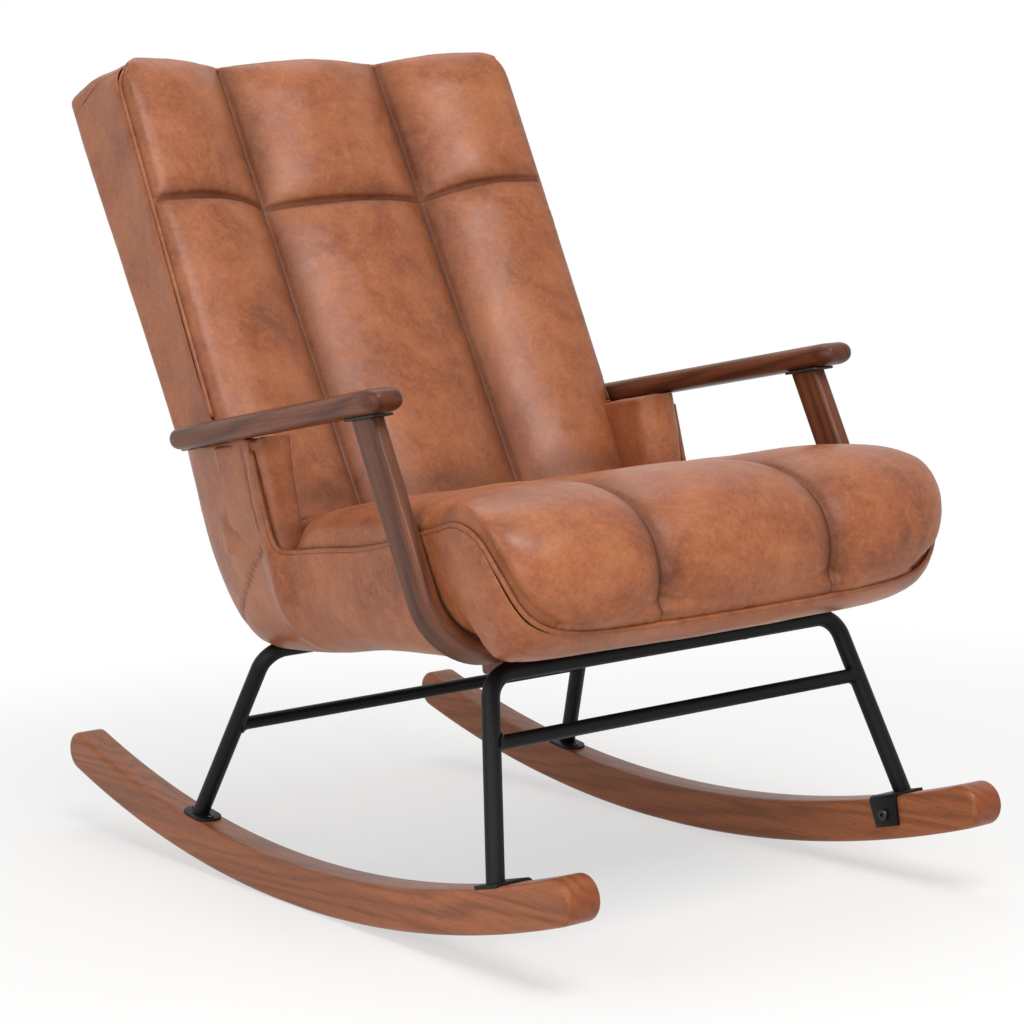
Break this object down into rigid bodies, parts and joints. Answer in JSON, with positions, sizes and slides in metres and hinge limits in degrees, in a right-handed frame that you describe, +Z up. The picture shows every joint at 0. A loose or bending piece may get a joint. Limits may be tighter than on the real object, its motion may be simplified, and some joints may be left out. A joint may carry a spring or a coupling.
{
  "type": "rocking chair",
  "caption": "Upholstered rocking chair: channelled leather seat and back in a rounded tub, wooden arms on bent posts, bent steel hoops and curved wooden runners.",
  "frame": {"origin": "the point on the floor midway between the two runners, where they touch it", "axes": "+Z up, -Y the way the sitter faces, +X towards the sitter's left"},
  "size_m": [0.6642, 1.118, 0.9889],
  "materials": {
    "leather": "semi-gloss waxed pull-up leather",
    "welt_leather": "semi-gloss waxed leather cord",
    "walnut": "satin lacquered walnut",
    "runner_walnut": "satin lacquered walnut",
    "black_steel": "satin black powder coat",
    "dark_steel": "blackened steel",
    "frame_wood": "plain sawn wood",
    "webbing": "matt woven webbing",
    "cover_cloth": "matt non-woven cloth",
    "black_plastic": "matt moulded plastic"
  },
  "bodies": {
    "root": {"runner_right": "runner_walnut", "runner_left": "runner_walnut", "front_foot_bracket_right": "black_steel", "front_foot_bracket_left": "black_steel", "front_foot_bolt_right": "dark_steel", "front_foot_bolt_left": "dark_steel", "rear_foot_flange_right": "black_steel", "rear_foot_flange_left": "black_steel", "rear_foot_screw_right_1": "dark_steel", "rear_foot_screw_right_2": "dark_steel", "rear_foot_screw_left_1": "dark_steel", "rear_foot_screw_left_2": "dark_steel", "front_hoop": "black_steel", "rear_hoop": "black_steel", "front_stretcher": "black_steel", "rear_stretcher": "black_steel", "front_mount_tab_right": "black_steel", "front_mount_tab_left": "black_steel", "front_mount_bolt_right": "dark_steel", "front_mount_bolt_left": "dark_steel", "rear_mount_plate_right": "black_steel", "rear_mount_plate_left": "black_steel", "rear_mount_bolt_right": "dark_steel", "rear_mount_bolt_left": "dark_steel", "front_cross_rail": "walnut", "arm_post_right": "walnut", "arm_post_left": "walnut", "arm_spacer_right": "black_plastic", "arm_spacer_left": "black_plastic", "arm_dowel_right": "frame_wood", "arm_dowel_left": "frame_wood", "armrest_right": "walnut", "armrest_left": "walnut", "arm_bolt_right": "dark_steel", "arm_bolt_left": "dark_steel", "seat_frame": "frame_wood", "dust_cover": "cover_cloth", "seat_strap_1": "webbing", "seat_strap_2": "webbing", "seat_strap_3": "webbing", "seat_tub": "leather", "seat_cushion": "leather", "seat_welt": "welt_leather", "side_wing_right": "leather", "side_wing_left": "leather", "back_frame": "frame_wood", "back_strap_1": "webbing", "back_strap_2": "webbing", "back_strap_3": "webbing", "back_shell": "leather", "back_cushion": "leather", "back_welt": "welt_leather"}
  },
  "joints": []
}
